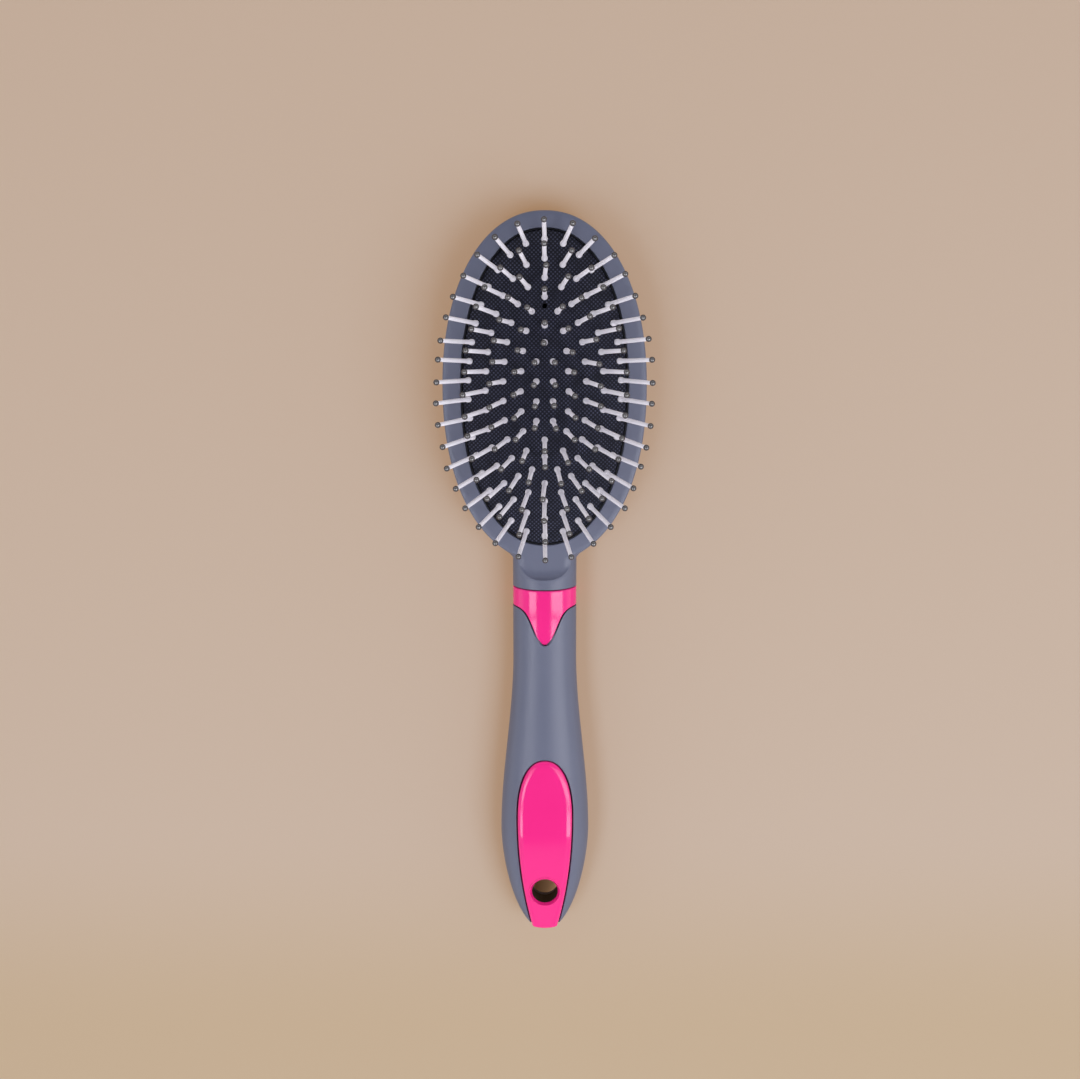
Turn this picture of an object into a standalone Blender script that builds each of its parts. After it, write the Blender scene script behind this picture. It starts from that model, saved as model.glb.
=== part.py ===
"""Oval cushion brush lying on its back: pins up (+Z), head towards +Y, handle towards -Y.

Lengths are in metres. The origin is under the middle of the brush, on the surface it rests on.
"""

import math

import bmesh
import bpy
import numpy as np
from mathutils import Vector

# Fits
clearance = 0.0003
overrun = 0.004

# Head
head_width = 0.0653
head_length = 0.112
head_depth = 0.0145
head_power = 2.15
back_round_width = 0.016
back_round_height = 0.010
rim_edge_round = 0.0013
rim_side_width = 0.0059
rim_end_width = 0.0055
ledge_depth = 0.0040
ledge_width = 0.0033
bowl_wall = 0.0026
bowl_floor_round = 0.0040

# Cushion
pad_power = 2.15
pad_skin = 0.0009
pad_core = 0.0012
pad_side_wall = 0.0017
pad_flange = 0.0015
crown_round = 0.0051
crown_flat = 0.0037
frame_width = 0.0006
frame_drop = 0.0001
vent_diameter = 0.0014
crown_shares = (1, 0.93, 0.8, 0.55, 0.3, 0.06)
skin_centre_shares = (0.5, 0.05)

# Pins
first_row_side_inset = 0.00275
first_row_end_inset = 0.0037
last_row_width_share = 0.3125
last_row_length_share = 0.624
first_row_count = 38
row_count_step = 6
oval_rows = 4
centre_seam_width_share = 0.633
centre_seam_length_share = 0.843
centre_pair_side_share = 0.547
centre_pair_end_shares = (0.126, 0.378)
centre_single_end_shares = (0.618, 0.833)
vent_end_share = 0.904
pin_reach = 0.0158
pin_base_diameter = 0.0024
pin_foot_diameter = 0.0018
pin_top_diameter = 0.0015
pin_ball_diameter = 0.0022
pin_base_height = 0.0007
pin_foot_height = 0.0014

# Handle
neck_width = 0.0208
neck_depth = 0.015
neck_length = 0.0092
handle_length = 0.1178
neck_front_drop = 0.004
grip_straight = 0.004
grip_width = 0.0293
grip_depth = 0.017
belly_to_end = 0.035
swell_offset = 0.0228
nose_blunting = 0.001
nose_depth = 0.0066
nose_round = 0.0014
section_power = 2.2
nose_power = 1.8
nose_depth_power = 1.23
shoulder_inset = 0.0042
shoulder_width = 0.0262
shoulder_length = 0.0034
scoop_margin = 0.0034
scoop_half_width = 0.0086
scoop_length = 0.0098
grip_wall = 0.0024

# Tang, collar and inlay
tang_width = 0.011
tang_depth = 0.006
tang_length = 0.0328
tang_power = 4
collar_width = 0.0059
tongue_length = 0.0123
tongue_spread = 0.0047
tongue_power = 2.7
inlay_length = 0.0607
inlay_width = 0.0182
inlay_end_width = 0.0086
inlay_arch = 0.020
inlay_arch_power = 2.3
inlay_proud = 0.00035
inlay_lip_height = 0.0066
inlay_taper_power = 2.1
hole_to_end = 0.0142
hole_diameter = 0.0093

# Facets
head_facets = 56
pad_facets = 40
handle_facets = 32
pin_facets = 4
hole_facets = 24
vent_facets = 8
tang_facets = 16
back_steps = 7
rim_steps = 4
shoulder_steps = 4
arch_steps = 9
taper_steps = 8
core_steps = 6
grip_steps = 9

# Places that follow from the sizes. A reach is a distance from the head's middle to the handle.
neck_end = head_length / 2 + neck_length
handle_reach = neck_end + handle_length
belly_reach = handle_reach - belly_to_end
nose_length = belly_to_end + nose_blunting
swell_start = neck_end + swell_offset
shoulder_reach = head_length / 2 - shoulder_inset
shoulder_end = shoulder_reach + shoulder_length
scoop_reach = neck_end - scoop_margin
tang_reach = neck_end + tang_length
inlay_top = handle_reach - inlay_length
hole_reach = handle_reach - hole_to_end
core_bore = hole_diameter - 2 * clearance
head_y = (handle_reach - head_length / 2) / 2
rim_z = head_depth
axis_z = grip_depth / 2
opening_half_width = head_width / 2 - rim_side_width
opening_half_length = head_length / 2 - rim_end_width
frame_outer_inset = clearance
pad_inset = frame_outer_inset + frame_width + clearance
ledge_z = rim_z - ledge_depth
flange_z = ledge_z + clearance
flange_top_z = flange_z + pad_flange
crown_height = crown_round + crown_flat
hole_y = head_y - hole_reach
first_row_half_width = opening_half_width - first_row_side_inset
first_row_half_length = opening_half_length - first_row_end_inset
last_row_half_width = first_row_half_width * last_row_width_share
last_row_half_length = first_row_half_length * last_row_length_share
centre_half_width = last_row_half_width * centre_seam_width_share
centre_half_length = last_row_half_length * centre_seam_length_share
vent_offset = last_row_half_length * vent_end_share


def clear_scene():
    for item in list(bpy.data.objects):
        bpy.data.objects.remove(item, do_unlink=True)


def make_collection(name):
    group = bpy.data.collections.new(name)
    bpy.context.scene.collection.children.link(group)
    return group


def make_material(name, colour, roughness, metallic=0.0):
    finish = bpy.data.materials.new(name)
    finish.use_nodes = True
    shader = finish.node_tree.nodes["Principled BSDF"]
    shader.inputs["Base Color"].default_value = (*colour, 1.0)
    shader.inputs["Roughness"].default_value = roughness
    shader.inputs["Metallic"].default_value = metallic
    return finish


def add_object(name, mesh, group, finish=None):
    item = bpy.data.objects.new(name, mesh)
    group.objects.link(item)
    if finish:
        mesh.materials.append(finish)
        mesh.shade_smooth()
        mesh.set_sharp_from_angle(angle=math.radians(35))
    else:
        item.hide_render = True
        item.display_type = "WIRE"
    return item


def combine(item, other, operation):
    """Joins the other object to the item or cuts it away, as the operation says."""
    change = item.modifiers.new(other.name, "BOOLEAN")
    change.operation = operation
    change.object = other
    change.solver = "EXACT"


def add_loft(bm, rings, closed=False):
    """Joins rings of equally many points with faces. A closed loft has no caps."""
    rows = [[bm.verts.new(point) for point in ring] for ring in rings]
    pairs = list(zip(rows, rows[1:]))
    if closed:
        pairs.append((rows[-1], rows[0]))
    for low, high in pairs:
        for i in range(len(low)):
            j = (i + 1) % len(low)
            bm.faces.new((low[i], low[j], high[j], high[i]))
    if not closed:
        bm.faces.new(rows[0][::-1])
        bm.faces.new(rows[-1])


def finish_mesh(bm, name):
    bmesh.ops.recalc_face_normals(bm, faces=bm.faces)
    mesh = bpy.data.meshes.new(name)
    bm.to_mesh(mesh)
    bm.free()
    return mesh


def loft_mesh(name, rings, closed=False):
    bm = bmesh.new()
    add_loft(bm, rings, closed)
    return finish_mesh(bm, name)


def cylinder_mesh(name, diameter, low_z, high_z, y, facets):
    bm = bmesh.new()
    bmesh.ops.create_cone(
        bm,
        cap_ends=True,
        segments=facets,
        radius1=diameter / 2,
        radius2=diameter / 2,
        depth=high_z - low_z,
    )
    bmesh.ops.translate(bm, verts=bm.verts, vec=(0, y, (low_z + high_z) / 2))
    return finish_mesh(bm, name)


def signed_power(value, power):
    return math.copysign(abs(value) ** power, value)


def oval_ring(half_width, half_length, z, power, facets, y=head_y):
    """A level superellipse round the head's middle. Power 2 is an ellipse."""
    ring = []
    for i in range(facets):
        turn = math.tau * i / facets
        across = signed_power(math.cos(turn), 2 / power)
        along = signed_power(math.sin(turn), 2 / power)
        ring.append(Vector((half_width * across, y + half_length * along, z)))
    return ring


def outline_ring(inset, z):
    """The head's outline, drawn in by the same distance all round."""
    return oval_ring(
        head_width / 2 - inset, head_length / 2 - inset, z, head_power, head_facets
    )


def opening_ring(inset, z, facets=head_facets):
    return oval_ring(
        opening_half_width - inset, opening_half_length - inset, z, pad_power, facets
    )


def crown(x, y):
    """Height of the cushion's outer surface above the rim's face, for y from the head's middle."""
    reach = (x / opening_half_width) ** 2 + (y / opening_half_length) ** 2
    return crown_round * (1 - reach) + crown_flat * (1 - reach**2)


def crown_normal(x, y):
    reach = (x / opening_half_width) ** 2 + (y / opening_half_length) ** 2
    steepness = 2 * (crown_round + 2 * crown_flat * reach)
    slope_x = steepness * x / opening_half_width**2
    slope_y = steepness * y / opening_half_length**2
    return Vector((slope_x, slope_y, 1)).normalized()


def crowned(ring, drop):
    """The ring laid on the cushion's surface, or under it by the drop."""
    return [
        Vector((p.x, p.y, rim_z + crown(p.x, p.y - head_y) - drop)) for p in ring
    ]


def smooth_step(value):
    value = min(max(value, 0), 1)
    return value * value * (3 - 2 * value)


def handle_half_width(reach):
    """Half width of the handle at a distance from the head's middle."""
    swell = smooth_step((reach - swell_start) / (belly_reach - swell_start))
    half = (neck_width + (grip_width - neck_width) * swell) / 2
    along_nose = max(reach - belly_reach, 0) / nose_length
    return half * math.sqrt(max(1 - along_nose**nose_power, 0))


def handle_half_depth(reach):
    swell = smooth_step((reach - swell_start) / (belly_reach - swell_start))
    depth = neck_depth + (grip_depth - neck_depth) * swell
    along_nose = max(reach - belly_reach, 0) / (handle_reach - belly_reach)
    return (depth - (grip_depth - nose_depth) * along_nose**nose_depth_power) / 2


def section_ring(y, half_width, half_depth, facets=handle_facets, power=section_power):
    """An upright section across the handle, round its axis."""
    ring = []
    for i in range(facets):
        turn = math.tau * i / facets
        across = signed_power(math.cos(turn), 2 / power)
        up = signed_power(math.sin(turn), 2 / power)
        ring.append(Vector((half_width * across, y, axis_z + half_depth * up)))
    return ring


def handle_ring(reach, inset, facets=handle_facets):
    return section_ring(
        head_y - reach,
        handle_half_width(reach) - inset,
        handle_half_depth(reach) - inset,
        facets,
    )


def nose_rings(inset, end_reach, facets=handle_facets):
    """The handle's rounded end: the last ring, and one drawn in by the rounding."""
    flat_reach = end_reach - nose_round
    base = handle_ring(flat_reach, inset, facets)
    cap = section_ring(
        head_y - end_reach,
        handle_half_width(end_reach) - inset,
        handle_half_depth(flat_reach) - inset - nose_round,
        facets,
    )
    return [base, cap]


def spread(first, last, count):
    """Evenly spread places from first to last, both of them included."""
    return [first + (last - first) * i / (count - 1) for i in range(count)]


def tongue(x, z):
    """How far the collar's lower edge runs down the handle at a point of its section."""
    if z < axis_z:
        return 0
    return tongue_length * math.exp(-((abs(x) / tongue_spread) ** tongue_power))


def edge_ring(section, gap):
    """The section's points moved along the handle to the collar's lower edge, past it by the gap."""
    edge_y = head_y - neck_end - collar_width
    ring = []
    for p in section:
        run = tongue(p.x, p.z)
        steepness = tongue_power / tongue_spread**tongue_power
        slope = steepness * abs(p.x) ** (tongue_power - 1) * run
        ring.append(Vector((p.x, edge_y - run - gap * math.hypot(1, slope), p.z)))
    return ring


def moved_along(section, places):
    """The section's points, each at the distance along the handle of its match in places."""
    return [Vector((p.x, place.y, p.z)) for p, place in zip(section, places)]


def inlay_half_width(reach):
    along_arch = min((reach - inlay_top) / inlay_arch, 1)
    fullness = (1 - (1 - along_arch) ** inlay_arch_power) ** (1 / inlay_arch_power)
    half = inlay_width / 2 * fullness
    taper_start = inlay_top + inlay_arch
    if reach > taper_start:
        share = min((reach - taper_start) / (handle_reach - taper_start), 1)
        narrowing = share**inlay_taper_power
        half -= (inlay_width - inlay_end_width) / 2 * narrowing
    return half


def inlay_outline(gap, z):
    """The inlay's outline from above, wider all round by the gap, open past the handle's end."""
    arch_places = [inlay_top + inlay_arch * share**2 for share in spread(0, 1, arch_steps)]
    taper_places = spread(inlay_top + inlay_arch, handle_reach, taper_steps)[1:]
    side = [(inlay_half_width(reach) + gap, reach) for reach in arch_places[1:] + taper_places]
    side.append((side[-1][0], handle_reach + overrun))
    side.insert(0, (side[0][0] / 2, inlay_top - gap / 2))
    right = [Vector((x, head_y - reach, z)) for x, reach in side]
    left = [Vector((-x, head_y - reach, z)) for x, reach in reversed(side)]
    return right + left


def even_places(half_width, half_length, count):
    """Places spaced evenly along an ellipse, from its far end."""
    turns = np.linspace(0, math.tau, 2001)
    x = half_width * np.sin(turns)
    y = half_length * np.cos(turns)
    run = np.concatenate([[0], np.cumsum(np.hypot(np.diff(x), np.diff(y)))])
    stops = run[-1] * np.arange(count) / count
    return [(float(a), float(b)) for a, b in zip(np.interp(stops, run, x), np.interp(stops, run, y))]


def centre_places():
    side = centre_half_width * centre_pair_side_share
    places = []
    for end in (-centre_half_length, centre_half_length):
        places += [(0, end * share) for share in centre_single_end_shares]
        for share in centre_pair_end_shares:
            places += [(-side, end * share), (side, end * share)]
    return places


def pin_rings(x, y):
    """A pin standing square to the cushion: base boss, tapered shaft and ball."""
    normal = crown_normal(x, y)
    foot = Vector((x, head_y + y, rim_z + crown(x, y)))
    across = normal.cross(Vector((0, 1, 0))).normalized()
    along = normal.cross(across)
    ball = pin_ball_diameter / 2
    stations = (
        (-pad_skin / 2, pin_base_diameter),
        (pin_base_height, pin_base_diameter),
        (pin_foot_height, pin_foot_diameter),
        (pin_reach - ball, pin_top_diameter),
        (pin_reach - ball / 4, pin_ball_diameter),
        (pin_reach + ball / 2, pin_ball_diameter),
        (pin_reach + ball, pin_ball_diameter / 3),
    )
    rings = []
    for height, diameter in stations:
        middle = foot + normal * height
        ring = []
        for i in range(pin_facets):
            turn = math.tau * (i + 1 / 2) / pin_facets
            out = across * math.cos(turn) + along * math.sin(turn)
            ring.append(middle + out * diameter / 2)
        rings.append(ring)
    return rings


def pins_mesh(name, places):
    bm = bmesh.new()
    for x, y in places:
        add_loft(bm, pin_rings(x, y))
    return finish_mesh(bm, name)


def make_head_shell():
    """The grey bowl with its rim, the neck with its scoop, and the tang that enters the handle."""
    rings = []
    for turn in spread(0, math.pi / 2, back_steps):
        inset = back_round_width * (1 - math.sin(turn))
        rings.append(outline_ring(inset, back_round_height * (1 - math.cos(turn))))
    for turn in spread(0, math.pi / 2, rim_steps):
        inset = rim_edge_round * (1 - math.cos(turn))
        rings.append(outline_ring(inset, rim_z - rim_edge_round * (1 - math.sin(turn))))
    head = add_object("head_shell", loft_mesh("head_shell", rings), parts, grey)

    combine(head, cutter("neck_solid", neck_rings()), "UNION")
    combine(head, cutter("scoop", scoop_rings()), "DIFFERENCE")
    combine(head, cutter("bowl", bowl_rings()), "DIFFERENCE")
    combine(head, cutter("tang_solid", tang_rings(0, neck_end - overrun)), "UNION")
    return head


def cutter(name, rings):
    return add_object(name, loft_mesh(name, rings), cutters)


def neck_rings():
    """The neck's sections, from inside the bowl's end wall to the collar."""
    inside = head_length / 2 - back_round_width
    low = axis_z - neck_depth / 2
    sunk_front = rim_z - neck_front_drop
    stations = [
        (inside, neck_width / 2, sunk_front),
        (shoulder_reach, shoulder_width / 2, sunk_front),
    ]
    for share in spread(0, 1, shoulder_steps)[1:]:
        reach = shoulder_reach + (shoulder_end - shoulder_reach) * share
        flare = (shoulder_width - neck_width) / 2 * (1 - share) ** 2
        front = sunk_front + (axis_z + neck_depth / 2 - sunk_front) * share
        stations.append((reach, neck_width / 2 + flare, front))
    stations.append((neck_end - clearance / 2, neck_width / 2, axis_z + neck_depth / 2))
    rings = []
    for reach, half_width, front in stations:
        ring = section_ring(head_y - reach, half_width, (front - low) / 2)
        rise = (front + low) / 2 - axis_z
        rings.append([point + Vector((0, 0, rise)) for point in ring])
    return rings


def scoop_rings():
    """The rim's flat face runs on into the neck's front as a U."""
    middle = head_y - scoop_reach + scoop_length
    return [
        oval_ring(scoop_half_width, scoop_length, z, 2, head_facets // 2, middle)
        for z in (rim_z, rim_z + overrun)
    ]


def bowl_rings():
    """The opening down to the ledge, then the air chamber under the cushion."""
    chamber_inset = ledge_width
    floor_inset = chamber_inset + bowl_floor_round
    return [
        opening_ring(0, rim_z + overrun),
        opening_ring(0, ledge_z),
        opening_ring(chamber_inset, ledge_z),
        opening_ring(chamber_inset, bowl_wall + bowl_floor_round),
        opening_ring(chamber_inset + bowl_floor_round / 3, bowl_wall + bowl_floor_round / 3),
        opening_ring(floor_inset, bowl_wall),
    ]


def tang_rings(gap, start):
    return [
        section_ring(
            head_y - reach, tang_width / 2 + gap, tang_depth / 2 + gap, tang_facets, tang_power
        )
        for reach in (start, tang_reach + gap)
    ]


def make_pad_frame():
    """The thin black ring that holds the cushion's flange down on its ledge."""
    outer = frame_outer_inset
    inner = outer + frame_width
    low = flange_top_z + clearance
    high = rim_z - frame_drop
    rings = [
        opening_ring(outer, low),
        opening_ring(outer, high),
        opening_ring(inner, high),
        opening_ring(inner, low),
    ]
    add_object("pad_frame", loft_mesh("pad_frame", rings, True), parts, black_plastic)


def make_cushion_pad():
    """The rubber membrane with its side wall and flange. The skin that holds the pins lies on it."""
    under_skin = pad_skin + clearance
    underside = under_skin + pad_core
    inner_inset = pad_inset + pad_side_wall
    rings = []
    inner = opening_ring(inner_inset, flange_z, pad_facets)
    for share in reversed(crown_shares):
        rings.append(crowned(drawn_in(inner, share), underside))
    rings.append(inner)
    rings.append(opening_ring(clearance, flange_z, pad_facets))
    rings.append(opening_ring(clearance, flange_top_z, pad_facets))
    outer = opening_ring(pad_inset, flange_top_z, pad_facets)
    rings.append(outer)
    for share in crown_shares:
        rings.append(crowned(drawn_in(outer, share), under_skin))
    pad = add_object("cushion_pad", loft_mesh("cushion_pad", rings), parts, rubber)
    combine(pad, vent, "DIFFERENCE")


def drawn_in(ring, share):
    """The ring made smaller round the head's middle."""
    return [Vector((p.x * share, head_y + (p.y - head_y) * share, p.z)) for p in ring]


def row_half_sizes(row):
    """Half sizes of an oval row of pins. Row 0 is the outermost, and half rows lie between two."""
    step = row / (oval_rows - 1)
    half_width = first_row_half_width + (last_row_half_width - first_row_half_width) * step
    half_length = first_row_half_length + (last_row_half_length - first_row_half_length) * step
    return half_width, half_length


def row_edge(row):
    """Half sizes of the seam outside a row of pins."""
    if row == oval_rows:
        return centre_half_width, centre_half_length
    return row_half_sizes(row - 1 / 2)


def skin_rings(row):
    """The slice of the cushion's skin that a row of pins stands in."""
    if row == 0:
        outer = opening_ring(pad_inset, 0, pad_facets)
    else:
        half_width, half_length = row_edge(row)
        seam = clearance / 2
        outer = oval_ring(half_width - seam, half_length - seam, 0, 2, pad_facets)
    rings = [crowned(outer, pad_skin), crowned(outer, 0)]
    if row == oval_rows:
        for share in skin_centre_shares:
            inside = drawn_in(outer, share)
            rings.insert(0, crowned(inside, pad_skin))
            rings.append(crowned(inside, 0))
        return rings
    half_width, half_length = row_edge(row + 1)
    seam = clearance / 2
    inner = oval_ring(half_width + seam, half_length + seam, 0, 2, pad_facets)
    return rings + [crowned(inner, 0), crowned(inner, pad_skin)]


def make_pin_rows():
    for row in range(oval_rows + 1):
        centre = row == oval_rows
        name = "centre_pins" if centre else f"pin_row_{row + 1}"
        skin = loft_mesh(name, skin_rings(row), closed=not centre)
        holder = add_object(name, skin, parts, nylon)
        if centre:
            places = centre_places()
        else:
            places = even_places(*row_half_sizes(row), first_row_count - row_count_step * row)
        pins = add_object(name + "_pins", pins_mesh(name + "_pins", places), cutters)
        combine(holder, pins, "UNION")
        if row == oval_rows - 1:
            combine(holder, vent, "DIFFERENCE")


def make_neck_collar():
    """The pink ring round the tang, with the tongue that runs down the handle's front."""
    top_y = head_y - neck_end - clearance / 2
    edge_y = head_y - neck_end - collar_width
    outer = section_ring(top_y, neck_width / 2, neck_depth / 2)
    inner = section_ring(top_y, neck_width / 2 - grip_wall, neck_depth / 2 - grip_wall)
    bore = section_ring(
        top_y, tang_width / 2 + clearance, tang_depth / 2 + clearance, handle_facets, tang_power
    )
    outer_edge = edge_ring(outer, -clearance / 2)
    socket_face = [Vector((0, edge_y + clearance / 2, 0))] * handle_facets
    rings = [
        bore,
        outer,
        outer_edge,
        moved_along(inner, outer_edge),
        moved_along(inner, socket_face),
        moved_along(bore, socket_face),
    ]
    add_object("neck_collar", loft_mesh("neck_collar", rings, True), parts, pink)


def make_grip():
    """The soft grey sleeve, open at the collar, round the hole and where the inlay lies."""
    end = handle_reach - inlay_proud
    straight = neck_end + collar_width + tongue_length + grip_straight
    outer_start = edge_ring(handle_ring(neck_end, 0), clearance / 2)
    inner_start = moved_along(handle_ring(neck_end, grip_wall), outer_start)
    bends = spread(straight, belly_reach, grip_steps)
    bends += spread(belly_reach, end - nose_round, grip_steps)[1:-1]
    outer = [handle_ring(reach, 0) for reach in bends] + nose_rings(0, end)
    inner = [handle_ring(reach, grip_wall) for reach in bends if reach < end - 3 * grip_wall]
    inner.append(handle_ring(end - 2 * grip_wall, grip_wall))
    rings = inner[::-1] + [inner_start, outer_start] + outer
    grip = add_object("grip", loft_mesh("grip", rings), parts, grey)
    window = [inlay_outline(clearance / 2, z) for z in (inlay_lip_height, grip_depth + overrun)]
    combine(grip, cutter("inlay_window", window), "DIFFERENCE")
    combine(grip, hang_hole, "DIFFERENCE")


def core_rings(inset, start, end):
    places = spread(start, belly_reach, core_steps) + spread(belly_reach, end, core_steps)[1:]
    return [handle_ring(reach, inset) for reach in places]


def make_handle_core():
    """The dark rigid core inside the sleeve, with the tang's socket and the hang hole's wall."""
    start = neck_end + collar_width + clearance / 2
    end = handle_reach - inlay_proud - 2 * grip_wall - clearance
    rings = core_rings(grip_wall + clearance, start, end)
    core = add_object("handle_core", loft_mesh("handle_core", rings), parts, black_plastic)
    combine(core, cutter("tang_socket", tang_rings(clearance, neck_end)), "DIFFERENCE")
    combine(core, core_hole, "DIFFERENCE")


def make_handle_inlay():
    """The pink plate on the handle's front. It follows the handle's surface and laps its end."""
    places = spread(inlay_top - overrun, belly_reach, core_steps)
    places += spread(belly_reach, handle_reach - nose_round, grip_steps)[1:-1]
    solid = [handle_ring(reach, -inlay_proud) for reach in places]
    solid += nose_rings(-inlay_proud, handle_reach)
    inlay = add_object("handle_inlay", loft_mesh("handle_inlay", solid), parts, pink)
    plate = [
        inlay_outline(-clearance / 2, z)
        for z in (inlay_lip_height + clearance, grip_depth + overrun)
    ]
    combine(inlay, cutter("inlay_outline", plate), "INTERSECT")
    end = handle_reach - inlay_proud - 2 * grip_wall
    space = core_rings(grip_wall, inlay_top - 2 * overrun, end)
    combine(inlay, cutter("core_space", space), "DIFFERENCE")
    combine(inlay, hang_hole, "DIFFERENCE")


clear_scene()
parts = make_collection("cushion_brush")
cutters = make_collection("cutters")

grey = make_material("grey_soft_plastic", (0.17, 0.18, 0.25), 0.5)
pink = make_material("pink_gloss_plastic", (0.92, 0.035, 0.26), 0.2)
black_plastic = make_material("black_plastic", (0.02, 0.02, 0.025), 0.4)
rubber = make_material("black_rubber", (0.02, 0.021, 0.026), 0.8)
nylon = make_material("white_nylon", (0.75, 0.72, 0.8), 0.35)

vent = add_object(
    "vent_hole",
    cylinder_mesh(
        "vent_hole", vent_diameter, rim_z, rim_z + 2 * crown_height, head_y + vent_offset, vent_facets
    ),
    cutters,
)
hang_hole = add_object(
    "hang_hole",
    cylinder_mesh("hang_hole", hole_diameter, -overrun, grip_depth + overrun, hole_y, hole_facets),
    cutters,
)
core_hole = add_object(
    "core_hole",
    cylinder_mesh("core_hole", core_bore, -overrun, grip_depth + overrun, hole_y, hole_facets),
    cutters,
)

make_head_shell()
make_pad_frame()
make_cushion_pad()
make_pin_rows()
make_neck_collar()
make_grip()
make_handle_core()
make_handle_inlay()
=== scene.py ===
import math

import bmesh
import bpy
import numpy as np
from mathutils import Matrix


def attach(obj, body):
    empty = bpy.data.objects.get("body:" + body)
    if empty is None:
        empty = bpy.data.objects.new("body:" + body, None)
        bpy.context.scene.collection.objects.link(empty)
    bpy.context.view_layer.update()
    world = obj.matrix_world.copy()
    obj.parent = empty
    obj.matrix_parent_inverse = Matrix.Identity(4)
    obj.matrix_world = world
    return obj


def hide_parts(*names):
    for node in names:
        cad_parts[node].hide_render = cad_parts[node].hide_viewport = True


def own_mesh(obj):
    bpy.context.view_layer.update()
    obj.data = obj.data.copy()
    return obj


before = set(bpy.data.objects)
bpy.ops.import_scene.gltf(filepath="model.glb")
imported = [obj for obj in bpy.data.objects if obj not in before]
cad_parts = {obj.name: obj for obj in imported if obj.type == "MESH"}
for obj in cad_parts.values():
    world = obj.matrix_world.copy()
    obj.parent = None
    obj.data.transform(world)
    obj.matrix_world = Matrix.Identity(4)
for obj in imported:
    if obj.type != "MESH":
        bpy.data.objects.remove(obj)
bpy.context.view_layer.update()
print("frame loaded,", len(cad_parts), "solids")

pieceCollection = bpy.data.collections.new("cushionBrush")
bpy.context.scene.collection.children.link(pieceCollection)
stageCollection = bpy.data.collections.new("studio")
bpy.context.scene.collection.children.link(stageCollection)

headY = 0.0635  # the head's middle; every reach is a distance from it towards the handle
rimZ = 0.0145
axisZ = 0.0085
weldDistance = 2e-6
sharpDegrees = 35


# shape helpers, all on arrays

def smoothStep(value):
    value = np.clip(value, 0, 1)
    return value * value * (3 - 2 * value)


def smoothMax(first, second, blend):
    share = np.clip(0.5 + 0.5 * (first - second) / blend, 0, 1)
    return second + (first - second) * share + blend * share * (1 - share)


def smoothMin(first, second, blend):
    return -smoothMax(-first, -second, blend)


def quarterDrop(distance, width, height):
    # how far a rounded edge lies under its face, at a distance from the edge
    share = np.clip(1 - distance / width, 0, 1)
    return height * (1 - np.sqrt(1 - share * share))


def bent(value, power):
    # turns the cosines and sines of a circle into those of a squarer curve
    return np.abs(value) ** (2 / power) * np.sign(value)


def roundedRise(share, power):
    # height of such a curve at a share of its half width
    return (1 - share**power) ** (1 / power)


def ovalCurve(turns, halfWidth, halfLength, power):
    # turn 90 degrees is the far tip, reach grows towards the handle
    return halfWidth * bent(np.cos(turns), power), -halfLength * bent(np.sin(turns), power)


def unit(vectors):
    return vectors / np.linalg.norm(vectors, axis=-1, keepdims=True)


def points(across, reach, height):
    across, reach, height = np.broadcast_arrays(across, reach, height)
    return np.stack([across, headY - reach, height], axis=-1)


# mesh helpers

def gridFaces(rows, columns, first, wrap):
    index = first + np.arange(rows * columns).reshape(rows, columns)
    if wrap:
        index = np.concatenate([index, index[:, :1]], axis=1)
    quads = np.stack([index[:-1, :-1], index[:-1, 1:], index[1:, 1:], index[1:, :-1]], axis=-1)
    return quads.reshape(-1, 4).tolist()


def meshPiece(name, grids, caps=(), mirror=False, sharpAngle=sharpDegrees, wrap=False):
    # grids are rows of points joined with quads, caps are single faces; shared edges are welded
    corners, faces = [], []
    for grid in grids:
        rows, columns = grid.shape[:2]
        faces += gridFaces(rows, columns, len(corners), wrap)
        corners += grid.reshape(-1, 3).tolist()
    for cap in caps:
        faces.append(list(range(len(corners), len(corners) + len(cap))))
        corners += np.asarray(cap).tolist()
    mesh = bpy.data.meshes.new(name)
    mesh.from_pydata(corners, [], faces)
    bm = bmesh.new()
    bm.from_mesh(mesh)
    bmesh.ops.remove_doubles(bm, verts=bm.verts, dist=weldDistance)
    if mirror:
        everything = bm.verts[:] + bm.edges[:] + bm.faces[:]
        bmesh.ops.mirror(bm, geom=everything, axis="X", merge_dist=weldDistance)
    bmesh.ops.dissolve_degenerate(bm, edges=bm.edges, dist=1e-7)
    bmesh.ops.recalc_face_normals(bm, faces=bm.faces)
    bm.to_mesh(mesh)
    bm.free()
    mesh.shade_smooth()
    mesh.set_sharp_from_angle(angle=math.radians(sharpAngle))
    piece = bpy.data.objects.new(name, mesh)
    pieceCollection.objects.link(piece)
    return piece


def drillHole(piece, diameter, reach, low, high, facets=96):
    # cuts an upright round hole on the middle line and keeps the result as the piece's own mesh
    bm = bmesh.new()
    bmesh.ops.create_cone(bm, cap_ends=True, segments=facets, radius1=diameter / 2,
                          radius2=diameter / 2, depth=high - low)
    bmesh.ops.translate(bm, verts=bm.verts, vec=(0, headY - reach, (low + high) / 2))
    drillMesh = bpy.data.meshes.new("drill")
    bm.to_mesh(drillMesh)
    bm.free()
    drill = bpy.data.objects.new("drill", drillMesh)
    stageCollection.objects.link(drill)
    cut = piece.modifiers.new("hole", "BOOLEAN")
    cut.operation = "DIFFERENCE"
    cut.solver = "EXACT"
    cut.object = drill
    bpy.context.view_layer.update()
    shaped = piece.evaluated_get(bpy.context.evaluated_depsgraph_get())
    finished = bpy.data.meshes.new_from_object(shaped)
    piece.modifiers.clear()
    piece.data = finished
    bpy.data.objects.remove(drill, do_unlink=True)
    finished.set_sharp_from_angle(angle=math.radians(sharpDegrees))


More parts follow.
